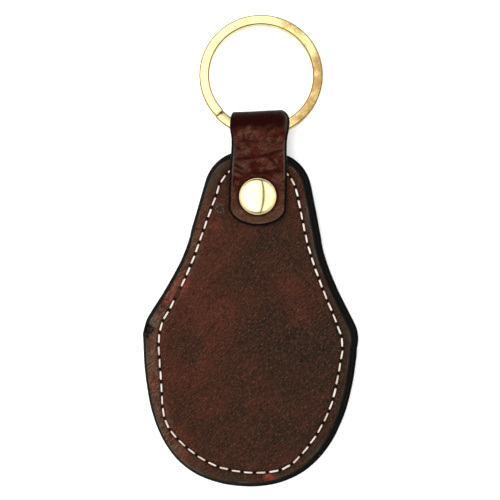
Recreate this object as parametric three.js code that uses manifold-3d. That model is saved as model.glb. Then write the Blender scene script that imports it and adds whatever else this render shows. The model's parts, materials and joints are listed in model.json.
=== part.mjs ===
// A leather keychain: a sewn three-ply fob, a folded strap riveted through the fob's neck, and a
// split ring in the strap's fold.
//
// Millimetres. The design frame has the rivet's axis as Z, with the origin half-way through the fob,
// +Y towards the ring and +Z out of the front face. The groups at the end of the file lay the
// keychain on its back, with +Z up and the origin at the centre of its box's underside.

import * as THREE from 'three';
import { mergeVertices } from 'three/addons/utils/BufferGeometryUtils.js';
import Module from 'manifold-3d';

const wasm = await Module();
wasm.setup();

// ---------------------------------------------------------------- driving dimensions

// Fob: three plies. The front one is the smallest in outline, so the others show round it.
const PLY_GAP = 0.05;
const PANEL_THICKNESS = 1.6;
const CORE_THICKNESS = 0.7;
const FOB_HALF = CORE_THICKNESS / 2 + PLY_GAP + PANEL_THICKNESS;
const NECK_TOP = 11.2;
const BOWL_BOTTOM = -70.9;
const FRONT_INSET = 0.9;
const FRONT_SHIFT = new THREE.Vector2(-0.6, -0.15);
const RIVET_HOLE_RADIUS = 1.9;

// Cutting solids reach this far past what they cut.
const OVERCUT = 1;

// Seam: a thread lies in a groove on each face.
const GROOVE_WIDTH = 0.9;
const GROOVE_DEPTH = 0.5;
const THREAD_WIDTH = 0.5;
const THREAD_THICKNESS = 0.4;

// Strap: one strip, folded round an eye that holds the ring.
const STRAP_THICKNESS = 1.3;
const STRAP_CLEARANCE = 0.1;
const STRAP_HALF_WIDTH = { tongue: 6.95, neck: 6.65, fold: 7.15 };
const TONGUE_LENGTH = 7.1;
const TONGUE_ARC = 4.5;
const LEAF_TOP = 10.6;
const EYE_Y = 16.65;
const EYE_INNER_RADIUS = 2.75;
const STRAP_LEAN_DEG = 1;

// Double-cap rivet: two domed caps, a socket and a post.
const CAP_RADIUS = 4.55;
const CAP_HEIGHT = 1.6;
const CAP_WALL = 0.35;
const CAP_SIDE_HEIGHT = 0.5;
const CAP_EDGE_CHAMFER = 0.12;
const CAP_SEAT_GAP = 0.05;
const CAP_LIP_RADIUS = 3.5;
const CAP_LIP_THICKNESS = 0.15;
const FLANGE_RADIUS = 3.9;
const FLANGE_THICKNESS = 0.4;
const SOCKET_OUTER_RADIUS = 1.7;
const SOCKET_INNER_RADIUS = 1.2;
const SOCKET_END_CLEARANCE = 0.3;
const POST_RADIUS = 1.05;
const POST_TIP_CHAMFER = 0.25;
const POST_END_CLEARANCE = 0.2;

// Split ring: flat wire, a little under two turns.
const RING_OUTER_RADIUS = 15;
const WIRE_WIDTH = 2.4;
const WIRE_THICKNESS = 1.2;
const WIRE_CHAMFER = 0.2;
const TURN_GAP = 0.1;
const RING_CENTRE_FROM_EYE = 12.75;

// ---------------------------------------------------------------- helpers

/** A closed solid for manifold-3d from a three.js geometry. */
function solidOf(geometry) {
  const bare = geometry.clone();
  bare.deleteAttribute('normal');
  bare.deleteAttribute('uv');
  const merged = mergeVertices(bare, 1e-4);
  return new wasm.Manifold(new wasm.Mesh({
    numProp: 3,
    vertProperties: new Float32Array(merged.attributes.position.array),
    triVerts: new Uint32Array(merged.index.array),
  }));
}

/** A three.js geometry from a manifold-3d solid. */
function geometryOf(solid) {
  const mesh = solid.getMesh();
  const geometry = new THREE.BufferGeometry();
  geometry.setAttribute('position', new THREE.BufferAttribute(new Float32Array(mesh.vertProperties), 3));
  geometry.setIndex(new THREE.BufferAttribute(new Uint32Array(mesh.triVerts), 1));
  geometry.computeVertexNormals();
  return geometry;
}

/** A named mesh with its own material. */
function piece(name, geometry, color, roughness, metalness = 0) {
  const mesh = new THREE.Mesh(geometry, new THREE.MeshStandardMaterial({ color, roughness, metalness }));
  mesh.name = name;
  return mesh;
}

/** The points of a line moved sideways, to the left of its direction for a positive distance. */
function offsetLine(points, distance, closed) {
  const last = points.length - 1;
  return points.map((point, i) => {
    const before = points[closed ? (i + last) % points.length : Math.max(i - 1, 0)];
    const after = points[closed ? (i + 1) % points.length : Math.min(i + 1, last)];
    const left = new THREE.Vector2(before.y - after.y, after.x - before.x).normalize();
    return point.clone().addScaledVector(left, distance);
  });
}

/** A plate of the given outline, from z = bottom up to z = top. */
function plate(outline, bottom, top, holes = []) {
  const shape = new THREE.Shape(outline);
  shape.holes = holes.map((hole) => new THREE.Path(hole));
  const geometry = new THREE.ExtrudeGeometry(shape, { depth: top - bottom, bevelEnabled: false });
  return geometry.translate(0, 0, bottom);
}

/** A rod along the rivet's axis, long enough to cut through the whole keychain. */
function rivetHoleCutter() {
  const cutterLength = 20;
  const cutterSegments = 28;
  const rod = new THREE.CylinderGeometry(
    RIVET_HOLE_RADIUS, RIVET_HOLE_RADIUS, cutterLength, cutterSegments,
  );
  return solidOf(rod.rotateX(Math.PI / 2));
}

// ---------------------------------------------------------------- fob

/** One side of the fob, from the bottom of its bowl up round its flank to the top of its neck. */
function fobSide({ lowReach, highReach, highY, shoulder }) {
  const side = new THREE.Path();
  side.moveTo(0, BOWL_BOTTOM);
  side.bezierCurveTo(lowReach, BOWL_BOTTOM, highReach, highY, shoulder, -35.9);
  side.bezierCurveTo(shoulder + 0.5, -33.2, 25.8, -31.4, 24.7, -29.5);
  side.lineTo(20.9, -22.8);
  side.bezierCurveTo(19, -18.9, 16.5, -14.2, 15.8, -9.3);
  side.lineTo(13, 2.3);
  side.bezierCurveTo(12.2, 5.9, 9.9, NECK_TOP, 0, NECK_TOP);
  const pointsPerCurve = 11;
  return side.getPoints(pointsPerCurve);
}

/** The fob's outline, counter-clockwise. It was cut by hand, so the bowl is fuller on the left. */
function fobOutline() {
  const right = fobSide({ lowReach: 17.7, highReach: 25.3, highY: -56.6, shoulder: 25.8 });
  const left = fobSide({ lowReach: 21.3, highReach: 25, highY: -53.3, shoulder: 26.3 });
  const back = left.slice(1, -1).reverse().map((point) => new THREE.Vector2(-point.x, point.y));
  return [...right, ...back];
}

/** The outline of a ply, part of the way from the back ply's outline to the front ply's. */
function plyOutline(towardsFront) {
  const inset = offsetLine(fobOutline(), FRONT_INSET * towardsFront, true);
  return inset.map((point) => point.addScaledVector(FRONT_SHIFT, towardsFront));
}

/** The line that the stitches follow, counter-clockwise, with the slight wander of hand sewing. */
function seamLine() {
  const marks = [
    [3.8, -67.1], [9.8, -65.7], [13.4, -62.3], [17.2, -56.6], [20.1, -49.9], [21.6, -41.2],
    [22.2, -34.8], [20, -28.8], [17.4, -23.2], [14.5, -16.4], [12.2, -9.7], [10.1, -1.4],
    [8.4, 4], [5.2, 7], [0, 8.3], [-5.2, 7], [-8.5, 4.2], [-10.4, -1.4], [-12.4, -7.7],
    [-15, -16.2], [-17.1, -21.7], [-19.6, -27.3], [-21.9, -32], [-22.4, -36], [-21.3, -46.6],
    [-20.7, -52.5], [-19.6, -56.4], [-15.8, -60.7], [-8.8, -65.3], [-2.8, -66.9],
  ];
  const curve = new THREE.CatmullRomCurve3(marks.map(([x, y]) => new THREE.Vector3(x, y, 0)), true);
  const steps = 110;
  return curve.getSpacedPoints(steps).slice(1).map((point) => new THREE.Vector2(point.x, point.y));
}

/** A closed band of the given width along the seam. */
function seamBand(width, bottom, top) {
  const line = seamLine();
  const outer = offsetLine(line, -width / 2, true);
  const inner = offsetLine(line, width / 2, true);
  return plate(outer, bottom, top, [inner]);
}

/** A ply with its rivet hole, and with a groove for the thread if it has one. */
function ply(towardsFront, bottom, top, groove) {
  const sheet = solidOf(plate(plyOutline(towardsFront), bottom, top)).subtract(rivetHoleCutter());
  return geometryOf(groove ? sheet.subtract(solidOf(groove)) : sheet);
}

const coreTop = CORE_THICKNESS / 2;
const panelInner = coreTop + PLY_GAP;
const grooveFloor = FOB_HALF - GROOVE_DEPTH;
const aboveFace = FOB_HALF + OVERCUT;
const threadGap = (GROOVE_DEPTH - THREAD_THICKNESS) / 2;
const threadLow = grooveFloor + threadGap;
const threadHigh = threadLow + THREAD_THICKNESS;

const frontGroove = seamBand(GROOVE_WIDTH, grooveFloor, aboveFace);
const backGroove = seamBand(GROOVE_WIDTH, -aboveFace, -grooveFloor);
const fobPieces = [
  piece('front_panel', ply(1, panelInner, FOB_HALF, frontGroove), 0x3d1d17, 0.55),
  piece('middle_ply', ply(0.5, -coreTop, coreTop), 0x4a3526, 0.8),
  piece('back_panel', ply(0, -FOB_HALF, -panelInner, backGroove), 0x2b1713, 0.6),
  piece('needle_thread', seamBand(THREAD_WIDTH, threadLow, threadHigh), 0xd8c6a8, 0.8),
  piece('bobbin_thread', seamBand(THREAD_WIDTH, -threadHigh, -threadLow), 0xd8c6a8, 0.8),
];

// ---------------------------------------------------------------- strap

/** The strap's side view as a closed outline: x is the design frame's y, y is its z. */
function strapSideOutline() {
  const leafMiddle = FOB_HALF + STRAP_CLEARANCE + STRAP_THICKNESS / 2;
  const eyeMiddle = EYE_INNER_RADIUS + STRAP_THICKNESS / 2;
  const swellStart = LEAF_TOP + (EYE_Y - LEAF_TOP) / 3;
  const swellEnd = EYE_Y - (EYE_Y - LEAF_TOP) / 3;
  const middle = new THREE.Path();
  middle.moveTo(-TONGUE_LENGTH, -leafMiddle);
  middle.lineTo(LEAF_TOP, -leafMiddle);
  middle.bezierCurveTo(swellStart, -leafMiddle, swellEnd, -eyeMiddle, EYE_Y, -eyeMiddle);
  middle.absarc(EYE_Y, 0, eyeMiddle, -Math.PI / 2, Math.PI / 2, false);
  middle.bezierCurveTo(swellEnd, eyeMiddle, swellStart, leafMiddle, LEAF_TOP, leafMiddle);
  middle.lineTo(-TONGUE_LENGTH, leafMiddle);
  const pointsPerCurve = 9;
  const line = middle.getPoints(pointsPerCurve);
  const outside = offsetLine(line, -STRAP_THICKNESS / 2, false);
  const inside = offsetLine(line, STRAP_THICKNESS / 2, false);
  return [...outside, ...inside.reverse()];
}

/** The strap's front view: a round tongue, a slight waist, and a wider fold with round corners. */
function strapFrontOutline() {
  const { tongue, neck, fold } = STRAP_HALF_WIDTH;
  const foldTop = EYE_Y + EYE_INNER_RADIUS + STRAP_THICKNESS;
  const beyondFold = foldTop + OVERCUT;
  const corner = { right: 1.8, left: 0.7 };
  const tongueCentre = -TONGUE_LENGTH + TONGUE_ARC;
  const outline = new THREE.Path();
  outline.moveTo(-tongue, tongueCentre);
  outline.absellipse(0, tongueCentre, tongue, TONGUE_ARC, Math.PI, Math.PI * 2, false, 0);
  outline.bezierCurveTo(tongue, 10, neck, 9.5, neck, 12);
  outline.bezierCurveTo(neck, 15.6, fold, 15.2, fold, foldTop - corner.right);
  outline.quadraticCurveTo(fold, foldTop, fold - corner.right, foldTop);
  outline.lineTo(fold - corner.right, beyondFold);
  outline.lineTo(corner.left - fold, beyondFold);
  outline.lineTo(corner.left - fold, foldTop);
  outline.quadraticCurveTo(-fold, foldTop, -fold, foldTop - corner.left);
  outline.bezierCurveTo(-fold, 15.2, -neck, 15.6, -neck, 12);
  outline.bezierCurveTo(-neck, 9.5, -tongue, 10, -tongue, tongueCentre);
  const pointsPerCurve = 8;
  return outline.getPoints(pointsPerCurve).slice(1);
}

/** The folded strap: its side view drawn out sideways, trimmed to its front view and pierced. */
function strapGeometry() {
  const reach = STRAP_HALF_WIDTH.fold + OVERCUT;
  const strip = plate(strapSideOutline(), -reach, reach);
  const upright = new THREE.Matrix4().makeBasis(
    new THREE.Vector3(0, 1, 0), new THREE.Vector3(0, 0, 1), new THREE.Vector3(1, 0, 0),
  );
  strip.applyMatrix4(upright);
  const trimDepth = 10;
  const trim = plate(strapFrontOutline(), -trimDepth, trimDepth);
  return geometryOf(solidOf(strip).intersect(solidOf(trim)).subtract(rivetHoleCutter()));
}

// ---------------------------------------------------------------- rivet

const seat = FOB_HALF + STRAP_CLEARANCE + STRAP_THICKNESS + CAP_SEAT_GAP;
const flangeLow = seat + CAP_LIP_THICKNESS + CAP_SEAT_GAP;
const flangeHigh = flangeLow + FLANGE_THICKNESS;

/** A turned piece from [radius, height] pairs that run up its outside, on the rivet's axis. */
function turned(profile) {
  const segments = 36;
  const lathe = new THREE.LatheGeometry(profile.map(([r, z]) => new THREE.Vector2(r, z)), segments);
  return geometryOf(solidOf(lathe.rotateX(Math.PI / 2)));
}

/** Points of a quarter ellipse from the axis out to its rim, as [radius, height] pairs. */
function domeArc(radius, rimHeight, topHeight, steps) {
  return Array.from({ length: steps + 1 }, (_, i) => {
    const angle = (Math.PI / 2) * (i / steps);
    return [radius * Math.sin(angle), rimHeight + (topHeight - rimHeight) * Math.cos(angle)];
  });
}

/** A stamped cap: a domed shell whose lip turns in under the flange that it holds. */
function capGeometry() {
  const shoulder = seat + CAP_SIDE_HEIGHT;
  const steps = 7;
  const outside = domeArc(CAP_RADIUS, shoulder, seat + CAP_HEIGHT, steps);
  return turned([
    ...domeArc(CAP_RADIUS - CAP_WALL, shoulder, seat + CAP_HEIGHT - CAP_WALL, steps),
    [CAP_RADIUS - CAP_WALL, seat + CAP_LIP_THICKNESS],
    [CAP_LIP_RADIUS, seat + CAP_LIP_THICKNESS],
    [CAP_LIP_RADIUS, seat],
    [CAP_RADIUS - CAP_EDGE_CHAMFER, seat],
    [CAP_RADIUS, seat + CAP_EDGE_CHAMFER],
    ...outside.reverse(),
  ]);
}

/** The socket: a flange held by the front cap, and a tube down through the leather. */
function socketGeometry() {
  const tubeEnd = SOCKET_END_CLEARANCE - flangeLow;
  return turned([
    [SOCKET_INNER_RADIUS, tubeEnd],
    [SOCKET_OUTER_RADIUS, tubeEnd],
    [SOCKET_OUTER_RADIUS, flangeLow],
    [FLANGE_RADIUS, flangeLow],
    [FLANGE_RADIUS, flangeHigh],
    [SOCKET_INNER_RADIUS, flangeHigh],
    [SOCKET_INNER_RADIUS, tubeEnd],
  ]);
}

/** The post: a flange held by the back cap, and a pin that is pressed into the socket. */
function postGeometry() {
  const postTop = seat - POST_END_CLEARANCE;
  return turned([
    [0, -flangeHigh],
    [FLANGE_RADIUS, -flangeHigh],
    [FLANGE_RADIUS, -flangeLow],
    [POST_RADIUS, -flangeLow],
    [POST_RADIUS, postTop - POST_TIP_CHAMFER],
    [POST_RADIUS - POST_TIP_CHAMFER, postTop],
    [0, postTop],
  ]);
}

const strapPieces = [
  piece('strap', strapGeometry(), 0x4a1712, 0.4),
  piece('rivet_cap_front', capGeometry(), 0xe8c878, 0.2, 1),
  piece('rivet_socket', socketGeometry(), 0xc9a860, 0.35, 1),
  piece('rivet_post', postGeometry(), 0xc9a860, 0.35, 1),
  piece('rivet_cap_back', capGeometry().rotateX(Math.PI), 0xe8c878, 0.2, 1),
];

// ---------------------------------------------------------------- split ring

/** The middle of the wire: a front turn, a step down beneath the strap, and a rear turn. */
class SplitRingPath extends THREE.Curve {
  startDeg = 225;

  turnDeg = 650;

  stepFromDeg = -75;

  stepToDeg = -105;

  angleDeg(t) {
    return this.startDeg - this.turnDeg * t;
  }

  getPoint(t, target = new THREE.Vector3()) {
    const radius = RING_OUTER_RADIUS - WIRE_WIDTH / 2;
    const level = (WIRE_THICKNESS + TURN_GAP) / 2;
    const angle = THREE.MathUtils.degToRad(this.angleDeg(t));
    const stepped = THREE.MathUtils.smoothstep(-this.angleDeg(t), -this.stepFromDeg, -this.stepToDeg);
    return target.set(radius * Math.cos(angle), radius * Math.sin(angle), level * (1 - 2 * stepped));
  }

  /** Frames that keep the wire flat: its width points away from the ring's centre. */
  computeFrenetFrames(segments) {
    const frames = { tangents: [], normals: [], binormals: [] };
    for (let i = 0; i <= segments; i += 1) {
      const angle = THREE.MathUtils.degToRad(this.angleDeg(this.getUtoTmapping(i / segments)));
      frames.tangents.push(this.getTangentAt(i / segments));
      frames.normals.push(new THREE.Vector3(Math.cos(angle), Math.sin(angle), 0));
      frames.binormals.push(new THREE.Vector3(0, 0, 1));
    }
    return frames;
  }
}

/** The wire's section, a flat bar with its corners taken off. */
function wireSection() {
  const x = WIRE_WIDTH / 2;
  const y = WIRE_THICKNESS / 2;
  const c = WIRE_CHAMFER;
  return new THREE.Shape([
    [x, c - y], [x, y - c], [x - c, y], [c - x, y], [-x, y - c], [-x, c - y], [c - x, -y], [x - c, -y],
  ].map(([px, py]) => new THREE.Vector2(px, py)));
}

function ringGeometry() {
  const steps = 96;
  return new THREE.ExtrudeGeometry(wireSection(), { steps, extrudePath: new SplitRingPath() });
}

const splitRing = piece('split_ring', ringGeometry(), 0xe0bf72, 0.25, 1);

// ---------------------------------------------------------------- assembly

// Lying on its back, the keychain rests on the back rivet cap, the edge of the bowl and the ring.
const restTilt = Math.atan((seat + CAP_HEIGHT - FOB_HALF) / -BOWL_BOTTOM);
const eyeHeight = (seat + CAP_HEIGHT) * Math.cos(restTilt) + EYE_Y * Math.sin(restTilt);
const ringReach = RING_CENTRE_FROM_EYE + RING_OUTER_RADIUS;
const ringHalfThickness = WIRE_THICKNESS + TURN_GAP / 2;
const ringDroop = Math.asin(eyeHeight / Math.hypot(ringReach, ringHalfThickness))
  - Math.atan(ringHalfThickness / ringReach);

const ring = new THREE.Group();
ring.position.set(0, EYE_Y, 0);
ring.rotation.x = -ringDroop - restTilt;
splitRing.position.y = RING_CENTRE_FROM_EYE;
ring.add(splitRing);

const strapAssembly = new THREE.Group();
strapAssembly.rotation.z = THREE.MathUtils.degToRad(STRAP_LEAN_DEG);
strapAssembly.add(...strapPieces, ring);

const fob = new THREE.Group();
fob.rotation.x = restTilt;
fob.add(...fobPieces, strapAssembly);

const keychain = new THREE.Group();
keychain.add(fob);
keychain.updateMatrixWorld(true);
const box = new THREE.Box3().setFromObject(keychain, true);
keychain.position.set(-(box.min.x + box.max.x) / 2, -(box.min.y + box.max.y) / 2, -box.min.z);

export default keychain;
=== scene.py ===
"""A leather keychain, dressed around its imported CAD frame.

A three-ply stitched fob, a strap folded round a split ring, and the double-cap rivet that holds them.
Shapes are worked out in millimetres in three design frames (fob, strap and ring), which are placed
by the frame's two joints, and are turned into metres when a mesh is made.
"""

import json
import math
import random

import bpy
import numpy as np
from mathutils import Matrix, Vector, noise
from mathutils.geometry import delaunay_2d_cdt


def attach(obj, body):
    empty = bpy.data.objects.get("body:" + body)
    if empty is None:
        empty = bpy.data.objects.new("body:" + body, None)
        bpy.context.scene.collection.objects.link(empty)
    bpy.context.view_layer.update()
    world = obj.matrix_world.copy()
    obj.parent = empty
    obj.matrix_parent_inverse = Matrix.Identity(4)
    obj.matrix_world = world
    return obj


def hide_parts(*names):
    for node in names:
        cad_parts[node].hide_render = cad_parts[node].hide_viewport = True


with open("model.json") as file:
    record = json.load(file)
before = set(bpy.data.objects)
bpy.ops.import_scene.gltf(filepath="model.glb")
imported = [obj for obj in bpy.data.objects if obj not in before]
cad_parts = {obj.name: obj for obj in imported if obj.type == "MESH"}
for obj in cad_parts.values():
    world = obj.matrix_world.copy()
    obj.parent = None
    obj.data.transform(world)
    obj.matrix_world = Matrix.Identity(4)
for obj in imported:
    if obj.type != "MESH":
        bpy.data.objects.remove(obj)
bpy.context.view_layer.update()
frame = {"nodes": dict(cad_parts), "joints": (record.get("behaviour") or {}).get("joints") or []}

MM = 0.001

# -------- design dimensions, millimetres

FOB_HALF = 2.0
CORE_HALF = 0.35
PLY_GAP = 0.05
FRONT_INSET = 0.9
FRONT_SHIFT = np.array([-0.6, -0.15])
RIVET_HOLE = 1.9

STITCH_RUNS = [(11, 3.17), (7, 3.07), (16, 2.85), (30, 3.0)]
STITCH_GAP = 0.8
THREAD_WIDTH = 0.43
THREAD_HEIGHT = 0.42

STRAP_INNER = 2.1
STRAP_THICKNESS = 1.3
STRAP_HALF_WIDTHS = {"tongue": 6.95, "neck": 6.65, "fold": 7.15}
TONGUE_LENGTH = 7.1
TONGUE_ARC = 4.5
FOLD_SKEW = 0.075
LEAF_TOP = 10.6
EYE_Y = 16.65
EYE_RADIUS = 2.75

CAP_SEAT = 3.45
CAP_RADIUS = 4.55
CAP_HEIGHT = 1.6
CAP_WALL = 0.35
CAP_LIP_RADIUS = 3.5

RING_RADIUS = 15.0
WIRE_WIDTH = 2.4
WIRE_THICKNESS = 1.2
TURN_GAP = 0.1
RING_FROM_EYE = 12.75
RING_START = 225.0
RING_TURN = 650.0
RING_STEP = (-75.0, -105.0)


# -------- design frames


def placed(origin, x_axis, z_axis):
    """The matrix of a frame with that origin, X axis and Z axis."""
    z = Vector(z_axis).normalized()
    x = Vector(x_axis).normalized()
    y = z.cross(x).normalized()
    x = y.cross(z)
    matrix = Matrix((x, y, z)).transposed().to_4x4()
    matrix.translation = Vector(origin)
    return matrix


def ring_droop(eye_height):
    """How far the ring hangs below level, so that its far edge touches the table."""
    reach = RING_FROM_EYE + RING_RADIUS
    half = WIRE_THICKNESS + TURN_GAP / 2
    return math.asin(eye_height / math.hypot(reach, half)) - math.atan(half / reach)


joints = {joint["name"]: joint for joint in frame["joints"]}
swivel, swing = joints["strap_swivel"], joints["ring_swing"]
FOB_FRAME = placed(swivel["pos_m"], (1, 0, 0), swivel["axis"])
STRAP_FRAME = placed(swivel["pos_m"], swing["axis"], swivel["axis"])
level = placed(swing["pos_m"], swing["axis"], (0, 0, 1))
RING_FRAME = (
    level
    @ Matrix.Rotation(-ring_droop(swing["pos_m"][2] / MM), 4, "X")
    @ Matrix.Translation((0, RING_FROM_EYE * MM, 0))
)


# -------- flat curves, as arrays of points


def bezier(a, b, c, d, count=40):
    a, b, c, d = (np.array(p, float) for p in (a, b, c, d))
    t = np.linspace(0, 1, count)[:, None]
    return (1 - t) ** 3 * a + 3 * (1 - t) ** 2 * t * b + 3 * (1 - t) * t * t * c + t**3 * d


def norms(vectors):
    """The length of each row of an array."""
    return np.linalg.norm(vectors, axis=1)


def joined(*pieces):
    """Curves end to end as one line, with each shared end kept once."""
    points = np.vstack(pieces)
    return points[np.concatenate([[True], norms(np.diff(points, axis=0)) > 1e-6])]


def lengths_along(points):
    return np.concatenate([[0], np.cumsum(norms(np.diff(points, axis=0)))])


def at_lengths(points, lengths):
    along = lengths_along(points)
    return np.stack([np.interp(lengths, along, row) for row in points.T], 1)


def closed_evenly(points, spacing):
    """A closed line as evenly spaced points, about that far apart, with the start not repeated."""
    loop = np.vstack([points, points[:1]])
    total = lengths_along(loop)[-1]
    count = max(3, round(total / spacing))
    return at_lengths(loop, np.arange(count) * total / count)


def left_normals(points):
    """Unit vectors to the left of a closed line's direction, one for each point."""
    ahead = np.roll(points, -1, axis=0) - np.roll(points, 1, axis=0)
    left = ahead[:, ::-1] * [-1, 1]
    return left / norms(left)[:, None]


def inset(points, distance):
    return points + left_normals(points) * distance


def distances(points, line):
    """The distance from each point to the nearest part of a closed line."""
    step = np.roll(line, -1, axis=0) - line
    squared = (step**2).sum(1)
    best = np.full(len(points), np.inf)
    chunk = 4000
    for i in range(0, len(points), chunk):
        offset = points[i : i + chunk, None] - line
        t = np.clip((offset * step).sum(2) / squared, 0, 1)
        gap = offset - t[..., None] * step
        best[i : i + chunk] = np.sqrt((gap**2).sum(2)).min(1)
    return best


def is_inside(points, line):
    """Which points lie inside a closed line."""
    x, y = points.T
    result = np.zeros(len(points), bool)
    for (x0, y0), (x1, y1) in zip(line, np.roll(line, -1, axis=0)):
        if y0 == y1:
            continue
        crosses = (y0 > y) != (y1 > y)
        result ^= crosses & (x < (x1 - x0) * (y - y0) / (y1 - y0) + x0)
    return result


def smooth(value, low, high):
    """0 at low, 1 at high, and smooth between them; low may be the larger."""
    t = np.clip((value - low) / (high - low), 0, 1)
    return t * t * (3 - 2 * t)


def bell(value, width):
    """1 where the value is 0, falling away smoothly over about that width."""
    return np.exp(-((value / width) ** 2))


def circle(radius, centre=(0, 0), count=40):
    angles = np.arange(count) * 2 * np.pi / count
    return radius * np.stack([np.cos(angles), np.sin(angles)], 1) + centre


def arc(centre, radius, start_deg, end_deg, count):
    """Points of an arc; radius may be a pair, for an ellipse."""
    angles = np.radians(np.linspace(start_deg, end_deg, count))
    return np.stack([np.cos(angles), np.sin(angles)], 1) * radius + centre


def hex_points(low, high, spacing):
    """A hexagonal field of points over a box."""
    rows = np.arange(low[1], high[1], spacing * math.sqrt(3) / 2)
    columns = np.arange(low[0], high[0], spacing)
    x, y = np.meshgrid(columns, rows)
    x[1::2] += spacing / 2
    return np.stack([x.ravel(), y.ravel()], 1)


def field(points, size, seed):
    """Smooth noise from -1 to 1 at each point, with features of about that size in millimetres."""
    return np.array([noise.noise(Vector((x / size, y / size, seed))) for x, y in points])


# -------- fob outline and seam


def fob_side(low_reach, high_reach, high_y, shoulder):
    """One side of the back panel, from the bottom of its bowl up to the top of its neck."""
    return joined(
        bezier((0, -70.9), (low_reach, -70.9), (high_reach, high_y), (shoulder, -35.9), 90),
        bezier((shoulder, -35.9), (shoulder + 0.5, -33.2), (25.8, -31.4), (24.7, -29.5)),
        bezier((20.9, -22.8), (19, -18.9), (16.5, -14.2), (15.8, -9.3)),
        bezier((13, 2.3), (12.2, 5.9), (9.9, 11.2), (0, 11.2)),
    )


def fob_outline():
    """The back panel's outline, counter-clockwise, with its bowl fuller on the left."""
    right = fob_side(17.7, 25.3, -56.6, 25.8)
    left = fob_side(21.3, 25, -53.3, 26.3)[::-1][1:-1] * [-1, 1]
    return closed_evenly(np.vstack([right, left]), 0.45)


def ply_outline(towards_front):
    """A ply's outline, part of the way from the back panel's to the front panel's."""
    return inset(fob_outline(), FRONT_INSET * towards_front) + FRONT_SHIFT * towards_front


def closed_spline(marks, steps=24):
    """A closed centripetal Catmull-Rom curve through the marks."""
    marks = np.array(marks, float)
    count = len(marks)
    pieces = []
    for i in range(count):
        p = [marks[(i + k - 1) % count] for k in range(4)]
        knots = [0.0]
        for a, b in zip(p, p[1:]):
            knots.append(knots[-1] + math.sqrt(np.linalg.norm(b - a)))
        t = np.linspace(knots[1], knots[2], steps, endpoint=False)[:, None]

        def between(a, b, low, high):
            return a + (b - a) * (t - low) / (high - low)

        first = [between(p[k], p[k + 1], knots[k], knots[k + 1]) for k in range(3)]
        second = [between(first[k], first[k + 1], knots[k], knots[k + 2]) for k in range(2)]
        pieces.append(between(*second, knots[1], knots[2]))
    return np.vstack(pieces)


SEAM_MARKS = [
    (3.8, -67.1), (9.8, -65.7), (13.4, -62.3), (17.2, -56.6), (20.1, -49.9), (21.6, -41.2),
    (22.2, -34.8), (20, -28.8), (17.4, -23.2), (14.5, -16.4), (12.2, -9.7), (10.1, -1.4),
    (8.4, 4), (5.2, 7), (0, 8.3), (-5.2, 7), (-8.5, 4.2), (-10.4, -1.4), (-12.4, -7.7),
    (-15, -16.2), (-17.1, -21.7), (-19.6, -27.3), (-21.9, -32), (-22.4, -36), (-21.3, -46.6),
    (-20.7, -52.5), (-19.6, -56.4), (-15.8, -60.7), (-8.8, -65.3), (-2.8, -66.9),
]
SEAM = closed_evenly(closed_spline(SEAM_MARKS), 0.3)
SEAM_LOOP = np.vstack([SEAM, SEAM[:1]])
SEAM_LENGTH = lengths_along(SEAM_LOOP)[-1]


def stitch_holes():
    """Where the thread goes through the leather; the stitches are longest at the right of the bowl."""
    counts, pitches = zip(*STITCH_RUNS)
    pitches = np.repeat(pitches, counts)
    lengths = np.cumsum(pitches) * SEAM_LENGTH / pitches.sum() - STITCH_RUNS[0][1] / 2
    return at_lengths(SEAM_LOOP, lengths % SEAM_LENGTH)


HOLES = stitch_holes()


def nearest_hole(points):
    """The distance from each point to the nearest stitch hole."""
    return np.min([norms(points - hole) for hole in HOLES], axis=0)


# -------- mesh making


def added(name, data):
    """A new object in the scene."""
    made = bpy.data.objects.new(name, data)
    bpy.context.scene.collection.objects.link(made)
    return made


def make_piece(name, vertices, faces, matrix, attributes=None):
    """A smooth-shaded object from vertices in millimetres in a design frame."""
    mesh = bpy.data.meshes.new(name)
    mesh.from_pydata((np.asarray(vertices) * MM).tolist(), [], faces)
    for label, values in (attributes or {}).items():
        values = np.asarray(values, np.float32)
        kind, key = ("FLOAT_VECTOR", "vector") if values.ndim == 2 else ("FLOAT", "value")
        mesh.attributes.new(label, kind, "POINT").data.foreach_set(key, values.ravel())
    mesh.polygons.foreach_set("use_smooth", [True] * len(mesh.polygons))
    mesh.update()
    piece = added(name, mesh)
    piece.matrix_world = matrix
    return piece


def settle(piece, body, material, node):
    """Gives a piece its material, puts it on the body it rides on, and hides the CAD node it stands
    for.
    """
    piece.data.materials.append(material)
    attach(piece, body)
    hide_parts(node)


def loop_faces(first, second, flip=False):
    """Quads between two closed rings of vertex numbers of the same length."""
    count = len(first)
    quads = []
    for i in range(count):
        j = (i + 1) % count
        quad = (first[i], first[j], second[j], second[i])
        quads.append(quad[::-1] if flip else quad)
    return quads


def tube_faces(rings, around, flip=False):
    """The faces of a closed tube of that many rings of vertices, with a cap at each end."""
    numbers = np.arange(rings * around).reshape(rings, around).tolist()
    faces = []
    for first, second in zip(numbers, numbers[1:]):
        faces += loop_faces(first, second, flip)
    caps = numbers[0][::-1], numbers[-1]
    return faces + [tuple(cap[::-1] if flip else cap) for cap in caps]


# How near to a border a scattered point may lie, as a share of the spacing.
CLEAR_SHARE = 0.6
# Where the rings of points beside an outline lie, as shares of the radius of its edge.
EDGE_RINGS = (0.07, 0.26, 0.55, 1.0)
# How far a plate's cut wall bulges halfway up.
WALL_BULGE = 0.04
# Lines of finer points beside a seam, and how far off it the open field starts.
SEAM_TRACKS = (0, -1.05, -0.72, -0.45, -0.22, 0.22, 0.45, 0.72, 1.05)
SEAM_REACH = 1.25


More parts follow.
